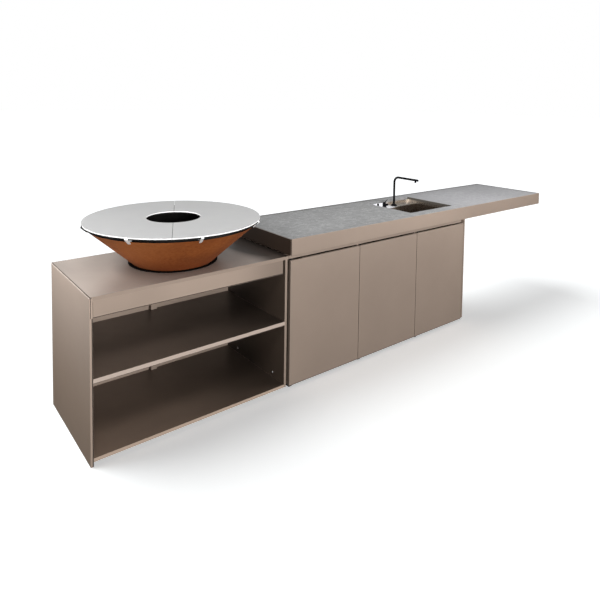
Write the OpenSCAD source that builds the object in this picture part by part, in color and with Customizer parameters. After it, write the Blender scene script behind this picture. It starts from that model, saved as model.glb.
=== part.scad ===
// Outdoor kitchen: an open grill cabinet with a fire bowl, a three-door cabinet with a sink,
// and a thick worktop that runs on past the cabinet as a bar.
// Millimetres. The origin is on the floor, under the middle of the run; +X runs along it
// from the grill to the bar, +Y goes to the back and +Z goes up.

/* [Cabinets] */
// Height of both cabinets, where the worktop starts
carcass_h = 850; // [780:5:900]
// Gap between the floor and the underside of the cabinets
floor_gap = 24; // [20:1:60]
// Thickness of the upright panels
panel_t = 15; // [12:1:25]
// Thickness of the bottom panels
base_t = 18; // [14:1:30]
// Thickness of the folded sheet
sheet = 2; // [1.5:0.5:3]
// Width of the turned-in lip on a folded panel
lip_w = 25; // [15:1:40]
// Clearance gap between the two cabinets
module_gap = 6; // [3:1:15]

/* [Grill cabinet] */
// Width of the grill cabinet
grill_w = 1200; // [1120:10:1600]
// Depth of the grill cabinet
grill_d = 700; // [600:10:850]
// Height of the folded rim round the grill top
rim_h = 20; // [15:1:30]
// Height of the fascia under the rim
fascia_h = 85; // [50:5:120]
// Thickness of the fascia
fascia_t = 15; // [10:1:20]
// How far the inner side panel stands in from the right-hand end of the top
side_inset = 10; // [0:1:20]
// Groove between the fascia and the inner side panel
groove_w = 19; // [4:1:30]
// Shadow gap round the end panel
shadow_gap = 3; // [1:0.5:5]
// Height of the shelf's upper face
shelf_z = 442; // [350:1:520]
// Thickness of the shelf
shelf_t = 24; // [18:1:40]
// Thickness of the back panels
back_t = 18; // [12:1:25]
// Slot between the two back panels
back_slot = 8; // [2:1:12]
// Distance from the end panel's outer face to the slot's middle
back_joint = 586; // [400:1:700]
// Width of the back post
post_w = 40; // [20:1:60]
// Depth of the back post
post_d = 20; // [10:1:40]
// Width and height of the beams under the fire bowl
grill_beam = 40; // [25:1:50]
// Distance from the cabinet's middle to each beam
grill_beam_out = 150; // [100:5:220]
// Height of the cleats under the shelf
cleat_h = 20; // [12:1:30]
// Width of the cleats under the shelf
cleat_w = 12; // [8:1:20]
// Length of the cleats under the shelf
cleat_l = 120; // [60:5:200]

/* [Fire bowl] */
// Diameter of the cooking plate
plate_d = 1028; // [900:2:1100]
// Diameter of the plate's centre hole
hole_d = 316; // [200:2:400]
// Thickness of the cooking plate
plate_t = 12; // [6:1:14]
// Height of the plate's upper face above the grill top
plate_z = 257; // [200:1:320]
// Direction of the seam between the plate halves
seam_a = 64; // [0:1:180]
// Gap at the seam between the plate halves
seam_gap = 2; // [1:0.5:4]
// Diameter of the bowl's rim
bowl_rim_d = 990; // [800:5:1010]
// Diameter of the bowl's flat base
bowl_base_d = 478; // [400:2:490]
// Wall thickness of the bowl
bowl_wall = 3; // [2:0.5:6]
// Diameter of the base ring
ring_d = 520; // [500:5:560]
// Height of the base ring
ring_h = 4; // [3:1:20]
// Wall of the base ring
ring_wall = 30; // [25:1:40]
// Gap between the bowl's rim and the plate
air_gap = 15; // [8:1:18]
// Directions of the supports under the left half of the plate
left_clips = [83, 128, 173, 218]; // [0:1:360]
// Directions of the supports under the right half of the plate
right_clips = [261, 314, 350, 35]; // [0:1:360]
// Width of a plate support
clip_w = 16; // [10:1:30]
// Thickness of a plate support
clip_t = 5; // [3:0.5:6]
// How far a plate support reaches down outside the bowl, measured along the slope
clip_reach = 46; // [24:1:50]

/* [Door cabinet] */
// Number of bays, each with one door
bays = 3; // [3:1:3]
// Width of a bay
bay_w = 600; // [560:5:700]
// Depth of the door cabinet and of the worktop
cab_d = 680; // [600:10:850]
// How far the left-hand side stands past the first bay
side_proud = 8; // [4:1:15]
// How far the right-hand side stands past the last bay
side_over = 2; // [0:1:8]
// Gap between two doors
door_gap = 4; // [3:0.5:6]
// Thickness of a door
door_t = 20; // [18:1:25]
// Height of the doors' lower edge above the floor
door_foot = 18; // [10:1:40]
// Finger gap between the doors and the top rail
finger_gap = 14; // [12:1:30]
// Gap between the doors and the carcass behind them
reveal = 5; // [4:0.5:8]
// Height of the top rails
rail_h = 20; // [12:1:30]
// Distance from the front to the top rail's inner edge
rail_w = 58; // [45:1:80]
// Wall of the top rails
rail_wall = 3; // [2:0.5:4]
// How far the front rail stands back from the door faces
rail_set = 3; // [0:0.5:3]
// Width of the finger notch between the front rail and the right-hand side
rail_notch = 32; // [16:1:40]
// Distance from a door's side edge to its pivot axis
pivot_in = 10; // [8:1:14]
// Distance from a door's front face to its pivot axis
pivot_back = 8; // [7:1:10]
// Diameter of the pivot pins
pivot_d = 6; // [5:0.5:6]
// Depth of a pivot pin in its bore
pivot_depth = 12; // [8:1:20]
// Width of the corner block that holds a pivot bore
block_w = 30; // [24:1:50]
// Thickness of the loose shelves in the bays
bay_shelf_t = 18; // [12:1:25]
// Height of the loose shelves' upper face
bay_shelf_z = 430; // [300:5:550]

/* [Worktop] */
// Thickness of the worktop, from underside to stone
slab_t = 100; // [90:1:130]
// Length of the bar past the door cabinet
bar_l = 1178; // [800:2:1400]
// Thickness of the stone
stone_t = 20; // [12:1:30]
// Thickness of the end boards
end_t = 10; // [6:1:20]
// Thickness of the long boards
board_t = 3; // [2:0.5:5]
// Width of the long boards' lower flange
flange_w = 70; // [68:1:85]
// Width of the main beams
beam_w = 60; // [40:1:62]
// Distance from the worktop's long edges to the main beams
beam_in = 8; // [6:1:12]
// Wall of the beams
beam_wall = 4; // [3:0.5:6]
// Width of the cross braces
brace_w = 40; // [30:1:60]
// Distance between the cross braces under the bar
brace_pitch = 350; // [250:10:350]

/* [Sink] */
// Width of the sink cut-out
cut_w = 520; // [440:5:540]
// Depth of the sink cut-out from front to back
cut_d = 480; // [440:5:480]
// Distance from the worktop's front to the cut-out
cut_front = 100; // [95:1:110]
// Wall of the sink
sink_wall = 1.5; // [1:0.25:3]
// Corner radius of the sink
sink_r = 12; // [5:1:30]
// Width of the flange under the stone
sink_flange = 15; // [10:1:18]
// Depth of the tap ledge below the stone's surface
ledge_drop = 38; // [30:1:60]
// Width of the tap ledge from front to back
ledge_w = 118; // [100:1:140]
// Depth of the sink bowl below the stone's surface
bowl_drop = 200; // [150:5:240]
// Diameter of the drain hole
drain_d = 90; // [80:1:95]
// Diameter of the drain's flange
drain_flange_d = 112; // [105:1:120]
// Depth of the drain cup
cup_h = 50; // [40:1:70]
// Diameter of the waste pipe
waste_d = 40; // [32:1:50]
// Diameter of the bottle trap
trap_d = 64; // [55:1:80]
// Height of the bottle trap
trap_h = 120; // [90:5:150]
// Length of waste pipe between the cup and the trap
tail_l = 30; // [20:5:60]
// How far the waste outlet stands out at the back
outlet_l = 40; // [30:1:60]
// Diameter of the hole for the water hose
hose_d = 30; // [20:1:40]
// Distance from the waste pipe to the hole for the water hose
hose_out = 160; // [60:5:220]

/* [Tap] */
// Diameter of the tap's pipe
pipe_d = 18; // [14:1:22]
// Height of the spout's arm above the tap ledge
spout_rise = 248; // [180:2:350]
// Reach from the tap's axis to the nozzle
spout_reach = 229; // [150:1:260]
// Radius of the pipe's bend
bend_r = 45; // [25:1:60]
// How far the arm runs past the nozzle
spout_over = 26; // [14:1:40]
// Diameter of the nozzle
nozzle_d = 15; // [12:1:16]
// Length of the nozzle
nozzle_l = 13; // [8:1:30]
// Distance from the cut-out's back edge to the tap's axis
tap_back = 73; // [50:1:80]
// Diameter of the tap's foot
tap_foot_d = 50; // [44:1:56]
// Height of the tap's foot
tap_foot_h = 18; // [14:1:26]
// Diameter of the mixer's body
mixer_d = 30; // [26:1:36]
// Height of the mixer's body
mixer_h = 34; // [30:1:50]
// Length of the mixer's lever
lever_l = 42; // [30:1:70]
// Lean of the mixer's lever from upright
lever_lean = 60; // [10:1:70]
// Diameter of the round knobs
knob_d = 19; // [16:1:26]
// Height of the round knobs
knob_h = 16; // [12:1:24]
// Length of the necks that carry the round knobs
knob_neck = 8; // [4:1:20]
// Distance from the cut-out's side to the plug's knob
knob_in = 66; // [40:1:80]
// Distance from the plug's knob to the mixer
knob_out = 76; // [60:1:90]
// Diameter of the threaded shanks
shank_d = 20; // [16:1:24]
// Length of the shanks below the tap ledge
shank_l = 34; // [24:1:60]

/* [Fixings] */
// Diameter of the levelling feet
foot_d = 44; // [30:1:60]
// Distance from a cabinet's edges to its feet
foot_in = 80; // [60:1:120]
// Diameter of the bolts that join the cabinets
bolt_d = 8; // [6:1:10]
// Diameter of the bolts' heads
bolt_head_d = 16; // [12:1:20]
// Height of the joining bolts above the bottom panel
bolt_up = 30; // [20:1:60]
// Distance from the front to the front joining bolts
bolt_front = 123; // [80:1:160]
// Distance from the front to the rear joining bolts
bolt_rear = 543; // [400:1:580]
// Clearance round a fixed pin, pipe or bolt in its hole
hole_play = 0.5; // [0.3:0.1:1]
// Radial clearance of a part that turns in its bore
run_play = 0.05; // [0.02:0.01:0.09]
// Clearance between parts that pass each other
pass_gap = 0.3; // [0.2:0.1:0.5]

/* [Hidden] */
taupe = [0.60, 0.54, 0.49];
dark_taupe = [0.40, 0.35, 0.31];
rust = [0.52, 0.27, 0.12];
steel = [0.78, 0.78, 0.78];
stone = [0.55, 0.55, 0.54];
black = [0.07, 0.07, 0.07];

// Where the pieces lie, measured from the run's front left corner on the floor
bay_x = grill_w + module_gap + side_proud;
cab_x0 = bay_x - side_proud;
cab_x1 = bay_x + bays * bay_w + side_over;
slab_x0 = bay_x;
slab_x1 = cab_x1 + bar_l;
total_l = slab_x1;
top_z = carcass_h + slab_t;

base_z = floor_gap + base_t;
rim_z = carcass_h - rim_h;
fascia_z = rim_z - fascia_h;
inner_x = grill_w - side_inset - panel_t;
grill_in_w = inner_x - panel_t;
panel_gap = module_gap + side_inset;
grill_back_y = grill_d - back_t - sheet;
post_x = back_joint + back_slot / 2;
beam_z = rim_z - grill_beam;

bowl_x = grill_w / 2;
bowl_y = grill_d / 2;
plate_top = carcass_h + plate_z;
plate_low = plate_top - plate_t;
bowl_rim_z = plate_low - air_gap;
bowl_z = carcass_h + ring_h;

carcass_y = door_t + reveal;
cab_back_y = cab_d - panel_t;
side_z = carcass_h - rail_h;
door_top = side_z - finger_gap;
door_h = door_top - door_foot;
cab_w = cab_x1 - cab_x0;

beam_h = slab_t - stone_t - board_t;
slab_beam_z = carcass_h + board_t;
stone_z = top_z - stone_t;
bar_x = cab_x1;

sink_x = bay_x + (bays - 0.5) * bay_w;
cut_x = sink_x - cut_w / 2;
cut_back = cut_front + cut_d;
ledge_z = top_z - ledge_drop;
bowl_d = cut_d - ledge_w;
sink_floor = top_z - bowl_drop;
drain_y = cut_front + bowl_d / 2;
cup_z = sink_floor - cup_h;
trap_z = cup_z - tail_l - trap_h;
outlet_z = trap_z + trap_h - waste_d;
cup_wall = 2;
cup_r = drain_d / 2 - hole_play;
plug_z = cup_h - 4;
stem_d = 8;

tap_y = cut_back - tap_back;
knob_x = cut_x + knob_in;
mixer_x = knob_x + knob_out;
spigot_d = pipe_d - 4;
spigot_l = 8;
lever_pin_d = 10;
lever_bore_h = 10;
knob_pin_d = 8;
knob_base_h = 4;

// Moves from the run's front left corner to the origin
module kitchen() translate([-total_l / 2, -grill_d / 2, 0]) children();

// Folded panel lying flat: skin on top, turned-in lip below
module folded_panel(l, w, t) {
    difference() {
        cube([l, w, t]);
        translate([sheet, sheet, sheet])
            cube([l - 2 * sheet, w - 2 * sheet, t - 2 * sheet]);
        translate([lip_w, lip_w, -1])
            cube([l - 2 * lip_w, w - 2 * lip_w, sheet + 2]);
    }
}

// Folded panel standing up, skin to the front and lip to the back
module upright_panel(w, h, t) translate([0, t, 0]) rotate([90, 0, 0]) folded_panel(w, h, t);

// Panel standing up, closed all round and open at its top and bottom ends
module box_panel(w, d, h) {
    difference() {
        cube([w, d, h]);
        translate([sheet, sheet, -1]) cube([w - 2 * sheet, d - 2 * sheet, h + 2]);
    }
}

// Square tube along X
module tube_x(l, w, h, wall) {
    difference() {
        cube([l, w, h]);
        translate([-1, wall, wall]) cube([l + 2, w - 2 * wall, h - 2 * wall]);
    }
}

// Square tube along Y
module tube_y(l, w, h, wall) translate([w, 0, 0]) rotate([0, 0, 90]) tube_x(l, w, h, wall);

// Rectangle with round corners, made of exact arcs
module round_rect(w, d, r) {
    translate([r, 0]) square([w - 2 * r, d]);
    translate([0, r]) square([w, d - 2 * r]);
    for (x = [r, w - r], y = [r, d - r]) translate([x, y]) circle(r = r, $fn = 48);
}

// Levelling foot: pad, neck, lock nut and the socket that fits under a bottom panel
module levelling_foot() {
    pad_h = 6;
    neck_h = 4;
    nut_h = 6;
    stem_d = 10;
    cylinder(d = foot_d, h = pad_h, $fn = 48);
    translate([0, 0, pad_h]) cylinder(d1 = foot_d * 0.6, d2 = stem_d + 4, h = neck_h, $fn = 48);
    translate([0, 0, pad_h]) cylinder(d = stem_d, h = base_z - sheet - pad_h, $fn = 32);
    translate([0, 0, floor_gap - nut_h]) cylinder(d = stem_d * 1.7, h = nut_h, $fn = 6);
    translate([0, 0, floor_gap]) cylinder(d = 26, h = base_t - sheet, $fn = 48);
}

// Grill cabinet

module end_panel() color(taupe) kitchen()
    box_panel(panel_t, grill_d, carcass_h - sheet - shadow_gap);

module inner_side_panel() color(taupe) kitchen() {
    difference() {
        translate([inner_x, 0, floor_gap])
            box_panel(panel_t, grill_d - sheet, rim_z - floor_gap);
        joining_bolt_places() bolt_hole();
    }
}

module grill_bottom() color(dark_taupe) kitchen()
    translate([panel_t, 0, floor_gap]) folded_panel(grill_in_w, grill_back_y, base_t);

module grill_shelf() color(dark_taupe) kitchen()
    translate([panel_t, 0, shelf_z - shelf_t]) folded_panel(grill_in_w, grill_back_y, shelf_t);

// Two cleats on each side carry the shelf
module shelf_cleats() color(dark_taupe) kitchen()
    for (x = [panel_t, inner_x - cleat_w], y = [foot_in, grill_back_y - foot_in - cleat_l])
        translate([x, y, shelf_z - shelf_t - cleat_h]) cube([cleat_w, cleat_l, cleat_h]);

module back_panel(x0, x1) kitchen()
    translate([x0, grill_back_y, floor_gap]) box_panel(x1 - x0, back_t, rim_z - floor_gap);

module back_panel_left() color(dark_taupe)
    back_panel(panel_t, back_joint - back_slot / 2);

module back_panel_right() color(dark_taupe)
    back_panel(back_joint + back_slot / 2, inner_x);

// Post above and below the shelf, with the strap that closes the slot from behind
module back_post() color(dark_taupe) kitchen() {
    strap_w = post_w + 3 * back_slot;
    translate([post_x, grill_back_y - post_d, base_z])
        cube([post_w, post_d, shelf_z - shelf_t - base_z]);
    translate([post_x, grill_back_y - post_d, shelf_z]) cube([post_w, post_d, rim_z - shelf_z]);
    translate([back_joint - strap_w / 2, grill_d - sheet, floor_gap])
        cube([strap_w, sheet, rim_z - floor_gap]);
}

module grill_beams() color(steel) kitchen()
    for (side = [-1, 1])
        translate([panel_t, bowl_y + side * grill_beam_out - grill_beam / 2, beam_z])
            tube_x(grill_in_w, grill_beam, grill_beam, sheet);

// Heat-proof board that fills the folded top and lies on the beams
module heat_board() color(stone) kitchen()
    translate([panel_t + sheet, sheet, rim_z])
        cube([grill_w - panel_t - 2 * sheet, grill_d - 2 * sheet, rim_h - sheet]);

// Folded top, whose sheet runs over the end panel
module grill_top() color(taupe) kitchen() {
    difference() {
        translate([panel_t, 0, rim_z]) cube([grill_w - panel_t, grill_d, rim_h]);
        translate([panel_t + sheet, sheet, rim_z - 1])
            cube([grill_w - panel_t - 2 * sheet, grill_d - 2 * sheet, rim_h - sheet + 1]);
    }
    translate([0, 0, carcass_h - sheet]) cube([panel_t + sheet, grill_d, sheet]);
}

module grill_fascia() color(taupe) kitchen()
    translate([panel_t + sheet, 0, fascia_z])
        upright_panel(grill_in_w - sheet - groove_w, fascia_h, fascia_t);

module grill_feet() color(black) kitchen()
    for (x = [foot_in, grill_w / 2, grill_w - foot_in], y = [foot_in, grill_back_y - foot_in])
        translate([x, y, 0]) levelling_foot();

// Places of the bolts that join the cabinets, with X along each bolt
module joining_bolt_places()
    for (y = [bolt_front, bolt_rear], z = [base_z + bolt_up, beam_z - bolt_up])
        translate([inner_x, y, z]) rotate([0, 90, 0]) children();

module bolt_hole() translate([0, 0, -1])
    cylinder(d = bolt_d + 2 * hole_play, h = 2 * panel_t + panel_gap + 2, $fn = 32);

// Bolt with a domed head, a spacer in the gap and a nut in the door cabinet
module joining_bolts() color(steel) kitchen() joining_bolt_places() {
    head_h = 4;
    nut_h = 6.5;
    grip = 2 * panel_t + panel_gap;
    translate([0, 0, -head_h]) cylinder(d1 = bolt_head_d * 0.6, d2 = bolt_head_d, h = head_h, $fn = 32);
    cylinder(d = bolt_d, h = grip + nut_h, $fn = 32);
    translate([0, 0, grip]) cylinder(d = bolt_d * 1.85, h = nut_h, $fn = 6);
    translate([0, 0, panel_t]) difference() {
        cylinder(d = bolt_d * 2.5, h = panel_gap, $fn = 32);
        translate([0, 0, -1]) cylinder(d = bolt_d + 2 * hole_play, h = panel_gap + 2, $fn = 32);
    }
}

// Fire bowl

// Everything of the fire bowl is drawn round its own axis
module at_bowl(z) kitchen() translate([bowl_x, bowl_y, z]) children();

module bowl_ring() color(black) at_bowl(carcass_h) difference() {
    cylinder(d = ring_d, h = ring_h, $fn = 96);
    translate([0, 0, -1]) cylinder(d = ring_d - 2 * ring_wall, h = ring_h + 2, $fn = 96);
}

// Shallow cone with a flat base, open at the top
module fire_bowl() color(rust) at_bowl(bowl_z) {
    rim_r = bowl_rim_d / 2;
    base_r = bowl_base_d / 2;
    h = bowl_rim_z - bowl_z;
    flare = (rim_r - base_r) / h;
    wall_x = bowl_wall * sqrt(1 + flare * flare);
    inner_r = base_r - wall_x + bowl_wall * flare;
    rotate_extrude($fn = 128) polygon([
        [0, 0], [base_r, 0], [rim_r, h], [rim_r - wall_x, h], [inner_r, bowl_wall], [0, bowl_wall]
    ]);
}

// Hooks over the bowl's rim: a pad carries the plate, a nose stops its edge and a leg
// runs down outside the bowl, parallel to its slope
module plate_clips() color(steel) at_bowl(bowl_rim_z) {
    nose_r = plate_d / 2 + hole_play;
    flare_a = atan2((bowl_rim_d - bowl_base_d) / 2, bowl_rim_z - bowl_z);
    lap = 20;
    rim_x = bowl_rim_d / 2 + 2 * hole_play;
    leg_z = air_gap + 2;
    leg_x = rim_x + clip_t / cos(flare_a) + leg_z * tan(flare_a);
    foot_x = leg_x - clip_reach * sin(flare_a);
    foot_z = leg_z - clip_reach * cos(flare_a);
    inner_x = foot_x - clip_t * cos(flare_a);
    inner_z = foot_z + clip_t * sin(flare_a);
    for (a = concat(left_clips, right_clips)) rotate([90, 0, a])
        translate([0, 0, -clip_w / 2]) linear_extrude(clip_w) polygon([
            [bowl_rim_d / 2 - lap, 0], [rim_x, 0], [inner_x, inner_z],
            [foot_x, foot_z], [leg_x, leg_z], [nose_r + clip_t / 2, air_gap + plate_t],
            [nose_r, air_gap + plate_t], [nose_r, air_gap], [bowl_rim_d / 2 - lap, air_gap]
        ]);
}

// Half of the ring-shaped plate; side is 1 for the half behind and left of the seam
module plate_half(side) at_bowl(plate_low) {
    reach = plate_d / 2 + 1;
    difference() {
        cylinder(d = plate_d, h = plate_t, $fn = 128);
        translate([0, 0, -1]) cylinder(d = hole_d, h = plate_t + 2, $fn = 96);
        rotate([0, 0, side > 0 ? seam_a : seam_a + 180])
            translate([-reach, -reach, -1]) cube([2 * reach, reach + seam_gap / 2, plate_t + 2]);
    }
}

module plate_left() color(steel) plate_half(1);

module plate_right() color(steel) plate_half(-1);

// Door cabinet

module cabinet_side_left() color(taupe) kitchen() difference() {
    translate([cab_x0, carcass_y, floor_gap])
        box_panel(panel_t, cab_back_y - carcass_y, side_z - floor_gap);
    joining_bolt_places() bolt_hole();
}

// End panel of the run: flush with the doors and as high as the worktop's underside
module cabinet_side_right() color(taupe) kitchen() difference() {
    translate([cab_x1 - panel_t, 0, floor_gap])
        box_panel(panel_t, cab_back_y, carcass_h - floor_gap);
    translate([cab_x1 - panel_t - 1, cab_d - rail_w, side_z]) cube([panel_t + 2, rail_w, rail_h + 1]);
}

module partition(i) kitchen() translate([bay_x + i * bay_w - panel_t / 2, carcass_y, base_z])
    box_panel(panel_t, cab_back_y - carcass_y, side_z - base_z);

module partition_1() color(dark_taupe) partition(1);

module partition_2() color(dark_taupe) partition(2);

module cabinet_bottom() color(dark_taupe) kitchen()
    translate([cab_x0 + panel_t, carcass_y, floor_gap])
        folded_panel(cab_w - 2 * panel_t, cab_back_y - carcass_y, base_t);

// Back panel with holes for the waste pipe and the water hose
module cabinet_back() color(dark_taupe) kitchen() difference() {
    translate([cab_x0, cab_back_y, floor_gap]) box_panel(cab_w, panel_t, side_z - floor_gap);
    translate([sink_x, cab_back_y - 1, outlet_z]) rotate([-90, 0, 0])
        cylinder(d = waste_d + 2 * hole_play, h = panel_t + 2, $fn = 48);
    translate([sink_x - hose_out, cab_back_y - 1, outlet_z]) rotate([-90, 0, 0])
        cylinder(d = hose_d, h = panel_t + 2, $fn = 48);
}

// Front rail: it leaves a finger notch at its right-hand end, but runs on behind the doors
module rail_front() color(taupe) kitchen() difference() {
    l = cab_w - panel_t;
    translate([cab_x0, rail_set, side_z]) linear_extrude(rail_h) polygon([
        [0, 0], [l - rail_notch, 0], [l - rail_notch, carcass_y - rail_set],
        [l, carcass_y - rail_set], [l, rail_w - rail_set], [0, rail_w - rail_set]
    ]);
    translate([cab_x0 - 1, carcass_y + rail_wall, side_z + rail_wall])
        cube([cab_w + 2, rail_w - carcass_y - 2 * rail_wall, rail_h - 2 * rail_wall]);
    pivot_places() translate([0, 0, side_z - 1])
        cylinder(d = pivot_d + 2 * hole_play, h = rail_h + 2, $fn = 32);
}

module rail_back() color(taupe) kitchen()
    translate([cab_x0, cab_d - rail_w, side_z]) tube_x(cab_w, rail_w, rail_h, rail_wall);

module cabinet_feet() color(black) kitchen()
    for (x = [cab_x0 + foot_in, bay_x + bay_w * 1.5, cab_x1 - foot_in],
         y = [carcass_y + foot_in, cab_back_y - foot_in])
        translate([x, y, 0]) levelling_foot();

module bay_shelf(i) kitchen()
    translate([bay_x + i * bay_w + panel_t / 2 + 1, carcass_y + 20, bay_shelf_z - bay_shelf_t])
        folded_panel(bay_w - panel_t - 2, cab_back_y - carcass_y - 20, bay_shelf_t);

module bay_shelf_1() color(dark_taupe) bay_shelf(0);

module bay_shelf_2() color(dark_taupe) bay_shelf(1);

// Angle clips under the loose shelves, four to a bay
module shelf_clips() color(steel) kitchen() {
    clip_l = 30;
    wing = 14;
    for (i = [0, 1], y = [carcass_y + foot_in, cab_back_y - foot_in - clip_l]) {
        left_x = i == 0 ? cab_x0 + panel_t : bay_x + i * bay_w + panel_t / 2;
        right_x = bay_x + (i + 1) * bay_w - panel_t / 2;
        translate([left_x, y, bay_shelf_z - bay_shelf_t]) angle_clip(clip_l, wing, 1);
        translate([right_x, y, bay_shelf_z - bay_shelf_t]) angle_clip(clip_l, wing, -1);
    }
}

module angle_clip(l, wing, side) {
    x = side > 0 ? 0 : -wing;
    wall_x = side > 0 ? 0 : -sheet;
    translate([x, 0, -sheet]) cube([wing, l, sheet]);
    translate([wall_x, 0, -wing]) cube([sheet, l, wing]);
}

// All doors hang on the left, and the last one ends at the right-hand side
function door_x(i) = bay_x + i * bay_w + door_gap / 2;
function door_end(i) = i < bays - 1 ? door_x(i + 1) - door_gap : cab_x1 - panel_t - door_gap;
function door_w(i) = door_end(i) - door_x(i);
function pivot_x(i) = door_x(i) + pivot_in;

module pivot_places() for (i = [0 : bays - 1]) translate([pivot_x(i), pivot_back, 0]) children();

// Folded door with solid corner blocks round its two pivot bores
module door(i) kitchen() difference() {
    union() {
        translate([door_x(i), 0, door_foot]) upright_panel(door_w(i), door_h, door_t);
        for (z = [door_foot, door_top - block_w])
            translate([door_x(i), 0, z]) cube([block_w, door_t, block_w]);
    }
    for (z = [door_foot - 1, door_top - pivot_depth - pass_gap])
        translate([pivot_x(i), pivot_back, z])
            cylinder(d = pivot_d + 2 * run_play, h = pivot_depth + pass_gap + 1, $fn = 32);
}

module door_1() color(taupe) door(0);

module door_2() color(taupe) door(1);

module door_3() color(taupe) door(2);

// Pins that hang from the front rail, each with a collar under the rail
module top_pivots() color(steel) kitchen() pivot_places() {
    collar_h = 2;
    translate([0, 0, door_top - pivot_depth])
        cylinder(d = pivot_d, h = carcass_h - door_top + pivot_depth, $fn = 32);
    translate([0, 0, side_z - collar_h]) cylinder(d = pivot_d * 2, h = collar_h, $fn = 32);
}

// Brackets under the bottom panel, each with the pin and collar that carry a door
module bottom_pivots() color(steel) kitchen() pivot_places() {
    plate_w = 24;
    plate_t0 = 3;
    collar_h = 2;
    plate_z0 = door_foot - pass_gap - collar_h - plate_t0;
    seat_y = carcass_y - pivot_back;
    translate([-plate_w / 2, -pivot_back + 2, plate_z0])
        cube([plate_w, seat_y + lip_w + pivot_back - 2, plate_t0]);
    translate([-plate_w / 2, seat_y, plate_z0]) cube([plate_w, lip_w, floor_gap - plate_z0]);
    translate([0, 0, plate_z0]) cylinder(d = pivot_d, h = door_foot + pivot_depth - plate_z0, $fn = 32);
    translate([0, 0, plate_z0 + plate_t0]) cylinder(d = pivot_d * 2, h = collar_h, $fn = 32);
}

// Magnetic catches at the free upper corner of each door
module door_catches() color(black) kitchen() {
    catch_w = 18;
    catch_l = 55;
    catch_h = 24;
    catch_z = side_z - 40 - catch_h;
    walls = [for (i = [1 : bays]) i < bays ? bay_x + i * bay_w - panel_t / 2 : cab_x1 - panel_t];
    for (x = walls) translate([x - catch_w, door_t + pass_gap, catch_z])
        cube([catch_w, catch_l, catch_h]);
}

// Worktop

// Angle-shaped long board along X: upright face in front, flange below
module long_board() rotate([90, 0, 90]) linear_extrude(slab_x1 - slab_x0 - 2 * end_t) polygon([
    [0, 0], [flange_w, 0], [flange_w, board_t], [board_t, board_t], [board_t, slab_t], [0, slab_t]
]);

module worktop_front() color(taupe) kitchen()
    translate([slab_x0 + end_t, 0, carcass_h]) long_board();

module worktop_back() color(taupe) kitchen()
    translate([slab_x0 + end_t, cab_d, carcass_h]) mirror([0, 1, 0]) long_board();

module worktop_end_left() color(taupe) kitchen()
    translate([slab_x0, 0, carcass_h]) cube([end_t, cab_d, slab_t]);

module worktop_end_right() color(taupe) kitchen()
    translate([slab_x1 - end_t, 0, carcass_h]) cube([end_t, cab_d, slab_t]);

// Two main beams that carry the stone and hold the bar out past the cabinet
module worktop_beams() color(steel) kitchen()
    for (y = [beam_in, cab_d - beam_in - beam_w])
        translate([slab_x0 + end_t, y, slab_beam_z])
            tube_x(slab_x1 - slab_x0 - 2 * end_t, beam_w, beam_h, beam_wall);

module worktop_braces() color(steel) kitchen() {
    span = cab_d - 2 * (beam_in + beam_w);
    over_cabinet = [bay_x + bay_w / 2, bay_x + bay_w * 1.5];
    over_bar = [for (x = [bar_x : brace_pitch : slab_x1 - end_t - brace_w]) x];
    for (x = concat(over_cabinet, over_bar))
        translate([x, beam_in + beam_w, slab_beam_z]) tube_y(span, brace_w, beam_h, beam_wall);
}

module bar_underside() color(taupe) kitchen()
    translate([bar_x, flange_w, carcass_h])
        cube([slab_x1 - end_t - bar_x, cab_d - 2 * flange_w, board_t]);

module stone_top() color(stone) kitchen() difference() {
    translate([slab_x0 + end_t, board_t, stone_z])
        cube([slab_x1 - slab_x0 - 2 * end_t, cab_d - 2 * board_t, stone_t]);
    translate([cut_x, cut_front, stone_z - 1]) cube([cut_w, cut_d, stone_t + 2]);
}

// Sink

// Pressed sink: flange under the stone, tap ledge at the back and a deep bowl in front
module sink_bowl() color(steel) kitchen() {
    w = sink_wall;
    difference() {
        union() {
            translate([cut_x - sink_flange, cut_front - sink_flange, stone_z - w])
                cube([cut_w + 2 * sink_flange, cut_d + 2 * sink_flange, w]);
            translate([cut_x - w, cut_front - w, ledge_z - w])
                cube([cut_w + 2 * w, cut_d + 2 * w, stone_z - ledge_z + w]);
            translate([cut_x - w, cut_front - w, sink_floor - w])
                linear_extrude(stone_z - sink_floor) round_rect(cut_w + 2 * w, bowl_d + 2 * w, sink_r + w);
        }
        translate([cut_x, cut_front, ledge_z]) cube([cut_w, cut_d, stone_z - ledge_z + 1]);
        translate([cut_x, cut_front, sink_floor])
            linear_extrude(stone_z - sink_floor + 1) round_rect(cut_w, bowl_d, sink_r);
        translate([sink_x, drain_y, sink_floor - w - 1]) cylinder(d = drain_d, h = w + 2, $fn = 64);
        for (x = [sink_x, mixer_x, knob_x]) translate([x, tap_y, ledge_z - w - 1])
            cylinder(d = shank_d + 2 * hole_play, h = w + 2, $fn = 48);
    }
}

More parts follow.
